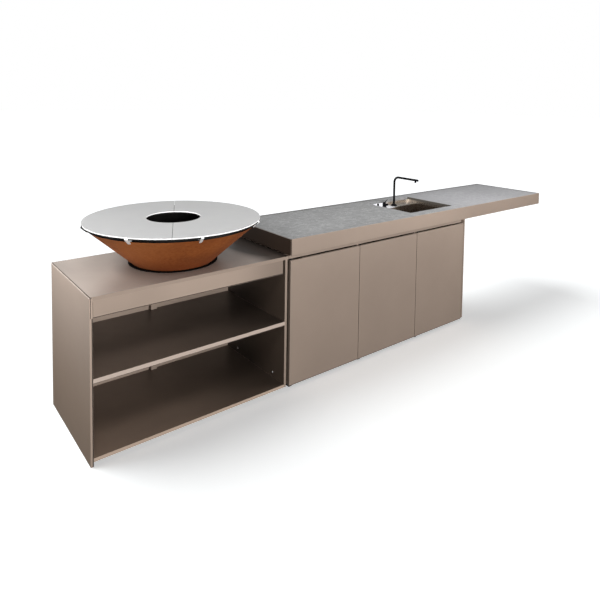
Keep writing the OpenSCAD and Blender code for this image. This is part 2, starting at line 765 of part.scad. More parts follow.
// Drain: flange on the sink's floor, cup below it and a boss on a cross bar for the plug
module drain_cup() color(steel) kitchen() translate([sink_x, drain_y, cup_z]) {
    neck_h = 12;
    bar_w = 8;
    bar_z = 20;
    bar_h = 6;
    boss_d = 16;
    rotate_extrude($fn = 96) polygon([
        [waste_d / 2 - cup_wall, -tail_l], [waste_d / 2, -tail_l], [waste_d / 2, 0],
        [cup_r, neck_h], [cup_r, cup_h], [drain_flange_d / 2, cup_h],
        [drain_flange_d / 2, cup_h + cup_wall], [cup_r - cup_wall, cup_h + cup_wall],
        [cup_r - cup_wall, neck_h + cup_wall], [waste_d / 2 - cup_wall, cup_wall]
    ]);
    difference() {
        union() {
            for (a = [0, 90]) rotate([0, 0, a]) translate([-cup_r + cup_wall / 2, -bar_w / 2, bar_z])
                cube([2 * cup_r - cup_wall, bar_w, bar_h]);
            translate([0, 0, bar_z]) cylinder(d = boss_d, h = plug_z - bar_z, $fn = 32);
        }
        translate([0, 0, bar_z - 1])
            cylinder(d = stem_d + 2 * run_play, h = plug_z - bar_z + 2, $fn = 32);
    }
}

// Plug with a domed cap and a stem that slides in the boss
module drain_plug() color(steel) kitchen() translate([sink_x, drain_y, cup_z]) {
    plug_r = cup_r - cup_wall - hole_play;
    rim_t = 3;
    dome_h = 3;
    stem_low = 8;
    hub_d = 14;
    translate([0, 0, stem_low]) cylinder(d = stem_d, h = plug_z - stem_low + 1, $fn = 32);
    translate([0, 0, plug_z]) cylinder(d = hub_d, h = dome_h + 1, $fn = 32);
    translate([0, 0, plug_z]) rotate_extrude($fn = 96) polygon([
        [0, dome_h], [plug_r / 2, dome_h], [plug_r - cup_wall, 1], [plug_r - cup_wall, 0],
        [plug_r, 0], [plug_r, rim_t], [plug_r / 2, rim_t + dome_h], [0, rim_t + dome_h]
    ]);
}

// Bottle trap: round body, inlet collar above, and an outlet pipe that passes through
// the back panel and a rosette
module bottle_trap() color(black) kitchen() {
    collar_h = 14;
    ring_h1 = 22;
    rosette_t = 4;
    pipe_l = cab_d + outlet_l - drain_y;
    translate([sink_x, drain_y, trap_z]) {
        cylinder(d = trap_d, h = trap_h - collar_h, $fn = 64);
        translate([0, 0, 4]) cylinder(d = trap_d + 8, h = ring_h1, $fn = 12);
        translate([0, 0, trap_h - collar_h]) cylinder(d = waste_d + 14, h = collar_h, $fn = 48);
    }
    translate([sink_x, drain_y, outlet_z]) rotate([-90, 0, 0]) difference() {
        union() {
            cylinder(d = waste_d, h = pipe_l, $fn = 48);
            translate([0, 0, trap_d / 2 - 2]) cylinder(d = waste_d + 12, h = 18, $fn = 12);
            translate([0, 0, cab_d - drain_y]) cylinder(d = waste_d + 22, h = rosette_t, $fn = 48);
        }
        translate([0, 0, trap_d / 2 + 2]) cylinder(d = waste_d - 4, h = pipe_l, $fn = 48);
    }
}

// Tap

module at_ledge(x) kitchen() translate([x, tap_y, ledge_z]) children();

// Shank that passes down through the ledge
module shank() translate([0, 0, -shank_l]) cylinder(d = shank_d, h = shank_l, $fn = 48);

// Foot of the tap, with the bore in which the spout turns
module tap_base() color(black) at_ledge(sink_x) difference() {
    flange_h = 7;
    union() {
        cylinder(d = tap_foot_d, h = flange_h, $fn = 64);
        translate([0, 0, flange_h])
            cylinder(d1 = tap_foot_d - 10, d2 = pipe_d + 6, h = tap_foot_h - flange_h, $fn = 64);
        shank();
    }
    translate([0, 0, -spigot_l])
        cylinder(d = spigot_d + 2 * run_play, h = tap_foot_h + spigot_l + 1, $fn = 48);
}

// Spout in one pipe: spigot, riser, bend and level arm, with a closed end
module tap_spout() color(black) at_ledge(sink_x) {
    riser_z = tap_foot_h + pass_gap;
    bend_low = spout_rise - bend_r;
    translate([0, 0, pass_gap - spigot_l]) cylinder(d = spigot_d, h = riser_z + spigot_l, $fn = 48);
    translate([0, 0, riser_z]) cylinder(d = pipe_d, h = bend_low - riser_z, $fn = 48);
    translate([0, -bend_r, bend_low]) rotate([90, 0, 90])
        rotate_extrude(angle = 90, $fn = 96) translate([bend_r, 0]) circle(d = pipe_d, $fn = 48);
    translate([0, -bend_r, spout_rise]) rotate([90, 0, 0])
        cylinder(d = pipe_d, h = spout_reach + spout_over - bend_r, $fn = 48);
}

// Nozzle under the arm: a sleeve with an open mouth, cut to fit round the pipe
module tap_nozzle() color(black) at_ledge(sink_x) difference() {
    rim_t = 2;
    low_z = spout_rise - pipe_d / 2 - nozzle_l;
    translate([0, -spout_reach, low_z])
        cylinder(d = nozzle_d, h = nozzle_l + pipe_d / 2, $fn = 48);
    translate([0, -spout_reach, low_z - 1])
        cylinder(d = nozzle_d - 2 * rim_t, h = nozzle_l - rim_t, $fn = 48);
    translate([0, -bend_r, spout_rise]) rotate([90, 0, 0])
        cylinder(d = pipe_d, h = spout_reach + spout_over, $fn = 48);
}

// Mixer: upright body on a flange, with bores for the lever and the knob
module mixer_body() color(black) at_ledge(mixer_x) {
    difference() {
        union() {
            cylinder(d = mixer_d, h = mixer_h, $fn = 64);
            cylinder(d = mixer_d + 8, h = 4, $fn = 64);
            shank();
        }
        translate([0, 0, mixer_h - lever_bore_h])
            cylinder(d = lever_pin_d + 2 * run_play, h = lever_bore_h + 1, $fn = 32);
        translate([0, 0, mixer_h / 2]) rotate([0, 90, 0])
            cylinder(d = knob_pin_d + 2 * run_play, h = mixer_d, $fn = 32);
    }
}

// Lever: cap that turns on the mixer's body, with a leaning stick
module mixer_lever() color(black) at_ledge(mixer_x) translate([0, 0, mixer_h + pass_gap]) {
    cap_h = 7;
    translate([0, 0, -lever_bore_h]) cylinder(d = lever_pin_d, h = lever_bore_h + 1, $fn = 32);
    cylinder(d1 = mixer_d, d2 = mixer_d - 8, h = cap_h, $fn = 64);
    translate([0, 0, cap_h / 2]) rotate([0, lever_lean, 0]) cylinder(d = 6, h = lever_l, $fn = 32);
}

// Round knob on a neck at the mixer's side
module mixer_knob() color(black) at_ledge(mixer_x)
    translate([0, 0, mixer_h / 2]) rotate([0, 90, 0]) {
        neck_x = mixer_d / 2 + knob_neck;
        translate([0, 0, mixer_d / 4]) cylinder(d = knob_pin_d, h = neck_x - mixer_d / 4 + 1, $fn = 32);
        translate([0, 0, neck_x]) cylinder(d = knob_d, h = knob_h, $fn = 48);
    }

// Base of the plug's knob, with the bore in which its rod slides
module plug_knob_base() color(black) at_ledge(knob_x) difference() {
    union() {
        cylinder(d = knob_d + 6, h = knob_base_h, $fn = 48);
        shank();
    }
    translate([0, 0, -shank_l - 1])
        cylinder(d = knob_pin_d + 2 * run_play, h = shank_l + knob_base_h + 2, $fn = 32);
}

// Pull knob for the plug, on a rod that stands out below the shank
module plug_knob() color(black) at_ledge(knob_x) {
    cap_z = knob_base_h + 2 * knob_neck;
    rod_low = -shank_l - 12;
    translate([0, 0, rod_low]) cylinder(d = knob_pin_d, h = cap_z - rod_low + 1, $fn = 32);
    translate([0, 0, knob_base_h + pass_gap])
        cylinder(d = knob_pin_d + 3, h = cap_z - knob_base_h - pass_gap + 1, $fn = 32);
    translate([0, 0, cap_z]) cylinder(d = knob_d, h = knob_h, $fn = 48);
}

// Hexagonal nuts that clamp the three shanks under the ledge
module tap_nuts() color(steel) for (x = [sink_x, mixer_x, knob_x]) at_ledge(x) {
    nut_h = 7;
    translate([0, 0, -sink_wall - nut_h]) difference() {
        cylinder(d = shank_d * 1.7, h = nut_h, $fn = 6);
        translate([0, 0, -1]) cylinder(d = shank_d + 2 * hole_play, h = nut_h + 2, $fn = 48);
    }
}

end_panel();
inner_side_panel();
grill_bottom();
grill_shelf();
shelf_cleats();
back_panel_left();
back_panel_right();
back_post();
grill_beams();
heat_board();
grill_top();
grill_fascia();
grill_feet();
joining_bolts();
bowl_ring();
fire_bowl();
plate_clips();
plate_left();
plate_right();
cabinet_side_left();
cabinet_side_right();
partition_1();
partition_2();
cabinet_bottom();
cabinet_back();
rail_front();
rail_back();
cabinet_feet();
bay_shelf_1();
bay_shelf_2();
shelf_clips();
door_catches();
door_1();
door_2();
door_3();
top_pivots();
bottom_pivots();
worktop_front();
worktop_back();
worktop_end_left();
worktop_end_right();
worktop_beams();
worktop_braces();
bar_underside();
stone_top();
sink_bowl();
drain_cup();
drain_plug();
bottle_trap();
tap_base();
tap_spout();
tap_nozzle();
mixer_body();
mixer_lever();
mixer_knob();
plug_knob_base();
plug_knob();
tap_nuts();
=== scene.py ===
import math

import bmesh
import bpy
from mathutils import Matrix, Vector


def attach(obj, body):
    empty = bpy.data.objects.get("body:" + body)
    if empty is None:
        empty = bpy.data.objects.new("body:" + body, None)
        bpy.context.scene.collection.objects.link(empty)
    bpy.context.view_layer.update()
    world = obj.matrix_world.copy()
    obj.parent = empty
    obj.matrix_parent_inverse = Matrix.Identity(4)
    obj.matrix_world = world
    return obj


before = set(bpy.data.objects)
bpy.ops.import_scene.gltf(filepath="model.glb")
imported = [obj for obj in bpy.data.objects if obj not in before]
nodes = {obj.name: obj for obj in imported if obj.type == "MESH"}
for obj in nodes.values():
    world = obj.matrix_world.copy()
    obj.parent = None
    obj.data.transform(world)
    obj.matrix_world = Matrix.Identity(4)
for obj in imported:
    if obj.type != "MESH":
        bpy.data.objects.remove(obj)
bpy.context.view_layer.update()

# Camera: its place in metres, heading, tilt and roll in radians, and lens in
# millimetres, solved from the photograph's edges
CAMERA_AT = Vector((-2.9004, -2.9851, 1.8212))
YAW = 0.66775
PITCH = 0.05831
ROLL = 0.01392
LENS = 32.707
SHIFT_Y = -0.2830

# Where things lie in the shared frame, in metres
GRILL_LEFT = -2.097
GRILL_RIGHT = -0.897
GRILL_TOP = 0.850
FASCIA_LOW = 0.745
SHELF_LOW = 0.418
DOORS_LEFT = -0.883
DOORS_RIGHT = 0.901
DOORS_LOW = 0.018
DOOR_WIDTH = 0.600
SINK_LEFT = 0.342
LEDGE_TOP = 0.912
PLATE_TOP = 1.107
BOWL_MIDDLE = (-1.497, 0.0, 0.0)

# Base tones of the coat: outside, a darker tone painted as shade inside the bays, and the
# painted shadow of folds
TAUPE = (0.330, 0.256, 0.207)
DARK_TONE = (0.088, 0.064, 0.050)
FOLD = (0.070, 0.053, 0.042)


def scaled(colour, k):
    return tuple(c * k for c in colour)


class Nodes:
    """Short calls for building a node tree."""

    def __init__(self, tree):
        self.tree = tree
        self.place = self.add("ShaderNodeTexCoord")

    def add(self, kind, **settings):
        node = self.tree.nodes.new(kind)
        for key, value in settings.items():
            setattr(node, key, value)
        return node

    def link(self, a, b):
        self.tree.links.new(a, b)

    def put(self, value, socket):
        """Sets a socket from another socket, a number or an RGB triple."""
        if isinstance(value, bpy.types.NodeSocket):
            self.link(value, socket)
        elif isinstance(value, (int, float)):
            socket.default_value = value
        else:
            socket.default_value = (*value, 1)

    def stretched(self, scale):
        """Object coordinates in metres, stretched along the axes."""
        mapping = self.add("ShaderNodeMapping")
        mapping.inputs["Scale"].default_value = scale
        self.link(self.place.outputs["Object"], mapping.inputs["Vector"])
        return mapping.outputs["Vector"]

    def noise(self, scale, detail, roughness=0.55, vector=None):
        node = self.add("ShaderNodeTexNoise")
        node.inputs["Scale"].default_value = scale
        node.inputs["Detail"].default_value = detail
        node.inputs["Roughness"].default_value = roughness
        self.link(vector or self.place.outputs["Object"], node.inputs["Vector"])
        return node.outputs["Fac"]

    def ramp(self, fac, *stops):
        """Colours or greys along a factor, as (position, value) pairs."""
        node = self.add("ShaderNodeValToRGB")
        marks = node.color_ramp.elements
        while len(marks) < len(stops):
            marks.new(0.5)
        for mark, (position, value) in zip(marks, stops):
            mark.position = position
            mark.color = (value, value, value, 1) if isinstance(value, float) else (*value, 1)
        self.link(fac, node.inputs["Fac"])
        return node.outputs["Color"]

    def between(self, noise, low, high):
        """From low to high over the middle of a noise, where most of its values lie."""
        return self.ramp(noise, (0.3, low), (0.7, high))

    def span(self, value, low, high, start=0.0, end=1.0):
        """Goes from start to end as the value goes from low to high."""
        node = self.add("ShaderNodeMapRange", interpolation_type="SMOOTHSTEP")
        for socket, number in zip(node.inputs, (value, low, high, start, end)):
            self.put(number, socket)
        return node.outputs["Result"]

    def mix(self, fac, a, b, blend="MIX"):
        node = self.add("ShaderNodeMix", data_type="RGBA", blend_type=blend)
        for socket, value in zip([s for s in node.inputs if s.enabled], (fac, a, b)):
            self.put(value, socket)
        return [s for s in node.outputs if s.enabled][0]

    def math(self, operation, a, b=0.0):
        node = self.add("ShaderNodeMath", operation=operation)
        self.put(a, node.inputs[0])
        self.put(b, node.inputs[1])
        return node.outputs[0]

    def times(self, a, b):
        return self.math("MULTIPLY", a, b)

    def over(self, value, limit):
        """1 where the value is above the limit, else 0."""
        return self.math("GREATER_THAN", value, limit)

    def under(self, value, limit):
        """1 where the value is below the limit, else 0."""
        return self.math("LESS_THAN", value, limit)

    def within(self, value, middle, reach):
        """1 where the value is less than the reach away from the middle, else 0."""
        return self.under(self.math("ABSOLUTE", self.math("SUBTRACT", value, middle)), reach)

    def axis(self, output, axis):
        """One component of an output of the texture coordinates."""
        split = self.add("ShaderNodeSeparateXYZ")
        self.link(self.place.outputs[output], split.inputs[0])
        return split.outputs["XYZ".index(axis)]

    def at(self, axis):
        """The place along one axis of the shared frame, in metres."""
        return self.axis("Object", axis)

    def facing(self, axis):
        """1 on surfaces that face along the axis, either way, else 0."""
        return self.over(self.math("ABSOLUTE", self.axis("Normal", axis)), 0.5)

    def on_top(self):
        """1 on surfaces that face up, else 0."""
        return self.over(self.axis("Normal", "Z"), 0.5)


class Shader(Nodes):
    """A Principled material."""

    def __init__(self, name, **sockets):
        self.material = bpy.data.materials.new(name)
        self.material.use_nodes = True
        super().__init__(self.material.node_tree)
        self.surface = self.tree.nodes["Principled BSDF"]
        for socket, value in sockets.items():
            self.surface.inputs[socket.replace("_", " ")].default_value = value

    def edges(self, width):
        """1 along the edges of a piece, falling to 0 over the width in metres."""
        bevel = self.add("ShaderNodeBevel", samples=6)
        bevel.inputs["Radius"].default_value = width
        dot = self.add("ShaderNodeVectorMath", operation="DOT_PRODUCT")
        self.link(bevel.outputs["Normal"], dot.inputs[0])
        self.link(self.add("ShaderNodeNewGeometry").outputs["Normal"], dot.inputs[1])
        return self.span(dot.outputs["Value"], 0.80, 0.97, 1.0, 0.0)

    def colour(self, socket):
        self.link(socket, self.surface.inputs["Base Color"])

    def gloss(self, socket):
        self.link(socket, self.surface.inputs["Roughness"])

    def bump(self, height, distance, strength):
        node = self.add("ShaderNodeBump")
        node.inputs["Distance"].default_value = distance
        node.inputs["Strength"].default_value = strength
        self.link(height, node.inputs["Height"])
        self.link(node.outputs["Normal"], self.surface.inputs["Normal"])


def powder_coat(name, tint=TAUPE, dark=None, dark_axis="", roughness=0.40, edge_highlight=0.55,
                shade=None, grit=0.22):
    """Metallic powder coat: fine orange peel, faint clouds and lighter edges as a painted
    highlight. Faces along the dark axis can carry a darker tone as painted shade, and a
    shade function adds the painted light and shade of one piece."""
    s = Shader(name, Specular_IOR_Level=0.5, Metallic=0.35)
    clouds = s.noise(2.2, 4.0)
    grain = s.noise(900.0, 2.0)
    tone = s.between(clouds, scaled(tint, 0.95), scaled(tint, 1.05))
    tone = s.mix(s.ramp(grain, (0.35, 0.0), (0.75, grit)), tone, scaled(tint, 1.25))
    if dark:
        # Painted shade: faces along the dark axis take a darker tone, deepening towards the
        # right
        inner_shade = s.between(clouds, scaled(dark, 0.85), scaled(dark, 1.15))
        inner_shade = s.mix(s.ramp(grain, (0.35, 0.0), (0.75, 0.20)), inner_shade, scaled(dark, 1.5))
        along = s.span(s.at("X"), GRILL_LEFT + 0.15, GRILL_RIGHT, 0.0, 0.78)
        inner_shade = s.mix(along, inner_shade, scaled(dark, 0.10))
        tone = s.mix(s.facing(dark_axis), tone, inner_shade)
    if shade:
        tone = shade(s, tone)
    # Painted highlight: the edges are lightened where rounded edges would catch the light
    if edge_highlight:
        tone = s.mix(s.times(s.edges(0.0025), edge_highlight), tone, scaled(TAUPE, 1.7))
    s.colour(tone)
    s.gloss(s.between(s.noise(14.0, 3.0), roughness - 0.01, roughness + 0.02))
    s.bump(s.noise(650.0, 3.0), 0.00003, grit)
    return s.material


def painted_reflection_top(s, tone):
    """The grill's top carries painted reflection and painted shade: it darkens from the bowl
    towards the worktop, most of all beside it and at the back, and is greyer in its back
    left corner. A painted shadow line runs along its left edge."""
    x = s.at("X")
    y = s.at("Y")
    slant = s.math("SUBTRACT", x, s.times(y, 0.9))
    along = s.span(slant, GRILL_LEFT + 0.19, GRILL_LEFT + 0.46, 0.10, 0.58)
    cleared = s.span(x, GRILL_RIGHT - 0.54, GRILL_RIGHT - 0.38, 0.0, 0.33)
    near = s.span(x, GRILL_RIGHT - 0.26, GRILL_RIGHT - 0.10, 0.0, 1.08)
    # Painted reflection of the dark worktop end and painted shade from the bowl
    reflected_dark = s.math("ADD", s.math("SUBTRACT", along, cleared), near)
    beyond = s.span(x, GRILL_LEFT + 0.45, GRILL_LEFT + 0.80, 0.0, 0.83)
    behind = s.math("ADD", s.times(s.span(y, -0.30, 0.05), beyond), 0.72)
    corner = s.times(s.span(x, GRILL_LEFT + 0.12, GRILL_LEFT, 0.0, 0.28),
                     s.span(y, -0.10, 0.30))
    beside = s.span(x, GRILL_RIGHT - 0.065, GRILL_RIGHT - 0.015, 0.0, 0.85)
    # Painted shadow line where the sheet meets the end panel
    seam = s.under(x, GRILL_LEFT + 0.0045)
    top = s.mix(corner, tone, (0.080, 0.075, 0.070))
    top = s.mix(s.times(reflected_dark, behind), top, (0.043, 0.031, 0.024))
    top = s.mix(beside, top, (0.012, 0.008, 0.006))
    top = s.mix(seam, top, (0.075, 0.058, 0.047))
    return s.mix(s.on_top(), TAUPE, top)


def bay_painted_shade(s, tone):
    """The inner side is painted darker towards the back of the bay as shade, and the slot
    beside the doors is painted black as its shadow."""
    # Painted shade deepening towards the back of the bay, and a painted black shadow in the
    # slot
    front = s.span(s.at("Y"), -0.36, 0.15, 0.75, 0.0)
    slot = s.within(s.at("X"), DOORS_LEFT + 0.005, 0.009)
    tone = s.mix(s.times(s.facing("X"), front), tone, (0.105, 0.076, 0.057))
    return s.mix(s.times(slot, 0.93), tone, (0.010, 0.006, 0.003))


def tucked(s, tone):
    """The rail's left end is painted dark on top as the shade in the gap between the grill and
    the worktop.
    """
    end = s.under(s.at("X"), DOORS_LEFT + 0.004)
    return s.mix(s.times(s.on_top(), end), tone, (0.016, 0.011, 0.008))


def gapped(s, tone):
    """The doors' side and bottom edges carry painted shadow lines, with a painted highlight
    band inside the side edges."""
    along = s.at("X")
    seam = s.math("PINGPONG", s.math("SUBTRACT", along, DOORS_LEFT), DOOR_WIDTH / 2)
    seam = s.math("MINIMUM", seam, s.math("SUBTRACT", DOORS_RIGHT, along))
    tone = s.mix(s.span(seam, 0.010, 0.005, 0.0, 0.30), tone, scaled(TAUPE, 1.35))
    seam = s.math("MINIMUM", seam, s.math("SUBTRACT", s.at("Z"), DOORS_LOW + 0.001))
    return s.mix(s.span(seam, 0.0040, 0.0032, 0.0, 0.70), tone, (0.060, 0.045, 0.035))


def folded(s, tone):
    """The fascia has painted light near its middle and painted shade at its right end. A
    painted shadow of a fold, with a painted highlight line above it, runs along its lower
    edge."""
    along = s.at("X")
    height = s.at("Z")
    line = s.span(height, FASCIA_LOW + 0.012, FASCIA_LOW + 0.006, 0.0, 0.35)
    middle = s.span(along, GRILL_LEFT + 0.25, GRILL_LEFT + 0.50, 0.0, 0.12)
    end = s.span(along, GRILL_RIGHT - 0.40, GRILL_RIGHT - 0.06, 0.0, 0.40)
    tone = s.mix(line, tone, scaled(TAUPE, 1.35))
    tone = s.mix(middle, tone, scaled(TAUPE, 2.0))
    tone = s.mix(end, tone, (0.080, 0.060, 0.048))
    return s.mix(s.times(s.under(height, FASCIA_LOW + 0.0055), 0.90), tone, FOLD)


def end_panel_painted_shade(s, tone):
    """The end panel is painted warmer and darker towards the floor as shade. Its front edge is
    painted light, with painted shadow in the joint beside the fascia and under the fold
    below, and its top edge carries a painted highlight line."""
    # Painted shade towards the floor and in the front joint, painted highlights on the edges
    height = s.at("Z")
    inward = s.math("SUBTRACT", s.at("X"), GRILL_LEFT)
    joint = s.within(inward, 0.0050, 0.0016)
    fold = s.over(inward, 0.0095)
    dark = s.mix(s.over(height, FASCIA_LOW), fold, joint)
    front = s.mix(dark, scaled(TAUPE, 1.25), (0.055, 0.042, 0.034))
    tone = s.mix(s.span(height, 0.05, 0.80, 0.85, 0.0), tone, (0.300, 0.215, 0.155))
    tone = s.mix(s.over(height, GRILL_TOP - 0.0085), tone, (0.62, 0.55, 0.50))
    return s.mix(s.facing("Y"), tone, front)


def lipped(s, tone):
    """The shelves are painted darker towards the back as shade, and the lowest carries painted
    light. The upper one's front edge has a painted highlight, with a painted shadow of a fine
    fold along its bottom."""
    height = s.at("Z")
    lighter = s.mix(1.0, tone, (1.30, 1.27, 1.22), "MULTIPLY")
    tone = s.mix(s.under(height, 0.10), tone, lighter)
    tone = s.mix(s.span(s.at("Y"), -0.20, 0.32, 0.0, 0.62), tone, (0.030, 0.022, 0.017))
    front = s.facing("Y")
    lip = s.times(front, s.times(s.over(height, SHELF_LOW + 0.0025), 0.68))
    fold = s.times(front, s.within(height, SHELF_LOW + 0.0012, 0.0013))
    tone = s.mix(lip, tone, (0.625, 0.515, 0.445))
    return s.mix(fold, tone, FOLD)


def lit(s, tone):
    """The back wall's inner face carries painted light, lighter than its outside."""
    return s.mix(s.under(s.axis("Normal", "Y"), -0.5), tone, scaled(TAUPE, 1.12))


def front_painted_light(s, tone):
    """The worktop's front carries painted reflection: lightest in the middle and darker
    towards the right.
    """
    along = s.at("X")
    tone = s.mix(s.span(along, -0.85, 0.30, 0.0, 0.16), tone, scaled(TAUPE, 2.0))
    return s.mix(s.span(along, 0.45, 1.15, 0.0, 0.24), tone, scaled(TAUPE, 0.35))


def frame_steel():
    """Raw steel tubes, cloudy and rather rough."""
    s = Shader("frame_steel", Metallic=0.9)
    s.colour(s.between(s.noise(9.0, 5.0), (0.20, 0.20, 0.21), (0.33, 0.33, 0.34)))
    s.gloss(s.between(s.noise(60.0, 4.0), 0.45, 0.65))
    s.bump(s.noise(400.0, 2.0), 0.0001, 0.4)
    return s.material


def cooking_plate():
    """Pale steel with upright rims painted bright as a reflection, over a band painted black
    as shadow. The faces of the joint between the halves, which lie between hole and rim, are
    painted black as shade."""
    s = Shader("cooking_plate", Specular_IOR_Level=0.15)
    fine = s.noise(240.0, 5.0)
    clouds = s.noise(5.0, 6.0, 0.6)
    tone = s.ramp(clouds, (0.25, (0.625, 0.625, 0.625)), (0.75, (0.655, 0.655, 0.650)))
    tone = s.mix(s.ramp(fine, (0.4, 0.0), (0.7, 0.10)), tone, (0.54, 0.54, 0.54))
    # Painted reflection on the rim's upper part and painted shadow in the band below
    bright = s.span(s.at("Z"), PLATE_TOP - 0.0060, PLATE_TOP - 0.0045)
    rim = s.mix(bright, (0.006, 0.005, 0.005), (0.88, 0.88, 0.87))
    out = s.add("ShaderNodeVectorMath", operation="DISTANCE")
    s.link(s.stretched((1.0, 1.0, 0.0)), out.inputs[0])
    out.inputs[1].default_value = BOWL_MIDDLE
    # Painted shade: the joint's faces are painted black
    joint = s.within(out.outputs["Value"], 0.335, 0.165)  # 0.17 to 0.50 from the middle
    rim = s.mix(joint, rim, (0.020, 0.018, 0.017))
    flat = s.facing("Z")
    s.colour(s.mix(flat, rim, tone))
    s.link(flat, s.surface.inputs["Metallic"])
    s.gloss(s.between(s.noise(18.0, 5.0), 0.46, 0.50))
    s.bump(fine, 0.00004, 0.5)
    return s.material


def rusted_bowl():
    """Weathered steel in streaks, with painted shade low down and painted light to the left.
    Faces that look up are covered in soot."""
    s = Shader("weathering_steel", Specular_IOR_Level=0.25)
    streaks = s.noise(7.0, 6.0, 0.62, s.stretched((1.0, 1.0, 0.35)))
    spots = s.noise(60.0, 5.0, 0.6)
    fine = s.noise(420.0, 4.0, 0.6)
    tone = s.ramp(streaks, (0.28, (0.208, 0.049, 0.008)), (0.52, (0.290, 0.075, 0.012)),
                  (0.75, (0.352, 0.101, 0.019)))
    tone = s.mix(s.ramp(spots, (0.42, 0.0), (0.70, 0.60)), tone, (0.170, 0.040, 0.008))
    tone = s.mix(s.ramp(fine, (0.40, 0.0), (0.72, 0.25)), tone, (0.42, 0.15, 0.050))
    # Painted shade low down and painted light on the left
    tone = s.mix(s.span(s.at("Z"), 0.86, 1.00, 0.75, 0.0), tone, (0.135, 0.027, 0.003))
    tone = s.mix(s.span(s.at("X"), -1.62, -1.90, 0.0, 0.40), tone, (0.560, 0.200, 0.060))
    soot = s.between(spots, (0.010, 0.009, 0.009), (0.028, 0.024, 0.022))
    upward = s.ramp(s.axis("Normal", "Z"), (0.02, 0.0), (0.10, 1.0))
    s.colour(s.mix(upward, tone, soot))
    s.gloss(s.between(spots, 0.78, 0.95))
    s.bump(s.math("ADD", fine, spots), 0.0004, 0.6)
    return s.material


def stone():
    """Grey stone with blotches, light veins, grit and dark flecks; a painted reflection makes
    it bluer and lighter towards the right, with painted shade towards the back and far right.
    Its back and right borders are dark, its cut faces carry painted shade and its edges a
    painted highlight."""
    s = Shader("worktop_stone", Specular_IOR_Level=0.5)
    x = s.at("X")
    y = s.at("Y")
    clouds = s.noise(3.4, 6.0, 0.6)
    blotches = s.noise(22.0, 6.0, 0.62)
    grit = s.noise(260.0, 5.0, 0.7)
    tone = s.ramp(clouds, (0.28, (0.140, 0.141, 0.141)), (0.72, (0.195, 0.196, 0.194)))
    tone = s.mix(s.ramp(blotches, (0.38, 0.0), (0.66, 0.60)), tone, (0.115, 0.117, 0.118))
    veins = s.noise(7.0, 8.0, 0.66, s.stretched((1.0, 2.2, 1.0)))
    line = s.math("ABSOLUTE", s.math("SUBTRACT", veins, 0.5))
    tone = s.mix(s.ramp(line, (0.0, 0.60), (0.015, 0.0)), tone, (0.42, 0.42, 0.42))
    tone = s.mix(s.ramp(grit, (0.46, 0.0), (0.72, 0.55)), tone, (0.28, 0.28, 0.28))
    # Painted reflection: bluer and lighter towards the right
    tone = s.mix(s.span(x, 0.5, 1.1, 0.0, 0.50), tone, (0.250, 0.246, 0.262))
    # Painted shade towards the back and far right
    far = s.math("MAXIMUM", s.span(y, 0.05, 0.28, 0.0, 0.20), s.span(x, 1.35, 1.75, 0.0, 0.20))
    tone = s.mix(far, tone, (0.080, 0.080, 0.080))
    border = s.math("MAXIMUM", s.span(y, 0.296, 0.304, 0.0, 0.9), s.span(x, 2.064, 2.070))
    tone = s.mix(s.times(border, 0.85), tone, (0.040, 0.036, 0.032))
    # Painted shade on the cut faces
    cut = s.times(s.facing("X"), s.under(x, 1.0))
    tone = s.mix(s.times(cut, 0.90), tone, (0.062, 0.052, 0.038))
    flecks = s.add("ShaderNodeTexVoronoi")
    flecks.inputs["Scale"].default_value = 95.0
    s.link(s.place.outputs["Object"], flecks.inputs["Vector"])
    flecked = s.ramp(flecks.outputs["Distance"], (0.05, 0.5), (0.16, 0.0))
    tone = s.mix(flecked, tone, (0.09, 0.09, 0.09))
    # Painted highlight along the edges
    s.colour(s.mix(s.times(s.edges(0.002), 0.3), tone, (0.50, 0.50, 0.50)))
    s.gloss(s.between(blotches, 0.38, 0.52))
    s.bump(grit, 0.00006, 0.5)
    return s.material


def brushed(name, tint):
    """Steel with fine lines along X."""
    s = Shader(name, Metallic=1.0)
    lines = s.noise(60.0, 4.0, 0.6, s.stretched((1.0, 40.0, 40.0)))
    s.colour(s.between(lines, scaled(tint, 0.9), scaled(tint, 1.06)))
    s.gloss(s.between(lines, 0.25, 0.38))
    s.bump(lines, 0.00005, 0.4)
    return s.material


def sink_steel():
    """Brushed steel with a painted reflection, brightest on the ledge's left and duller and
    browner beyond it, with painted highlights on the walls in the far right corner. The deep
    bowl is painted darker towards bronze as shade."""
    s = Shader("sink_steel")
    lines = s.noise(70.0, 4.0, 0.6, s.stretched((1.0, 35.0, 35.0)))
    along = s.at("X")
    fade = (SINK_LEFT + 0.20, SINK_LEFT + 0.30)
    # Painted reflection: bright on the ledge's left, duller and browner beyond
    beyond = s.span(along, *fade)
    bright = s.between(lines, (0.92, 0.92, 0.97), (0.97, 0.97, 1.0))
    dull_reflection = s.between(lines, (0.24, 0.205, 0.17), (0.40, 0.355, 0.31))
    deep = s.between(lines, (0.150, 0.118, 0.092), (0.220, 0.176, 0.138))
    # Painted highlights on the walls in the far right corner
    back = s.times(s.facing("Y"), s.span(along, SINK_LEFT + 0.500, SINK_LEFT + 0.520))
    side = s.times(s.facing("X"), s.span(s.at("Y"), 0.10, 0.16, 0.0, 0.45))
    corner = s.times(s.math("MAXIMUM", back, side), beyond)
    upper = s.mix(beyond, bright, dull_reflection)
    upper = s.mix(corner, upper, (0.78, 0.73, 0.67))
    # Painted shade: the deep bowl below the ledge is darker
    s.colour(s.mix(s.span(s.at("Z"), LEDGE_TOP - 0.007, LEDGE_TOP - 0.001), deep, upper))
    s.link(s.span(along, *fade, 0.50, 0.92), s.surface.inputs["Metallic"])
    s.gloss(s.between(lines, 0.22, 0.34))
    s.bump(lines, 0.00005, 0.4)
    return s.material


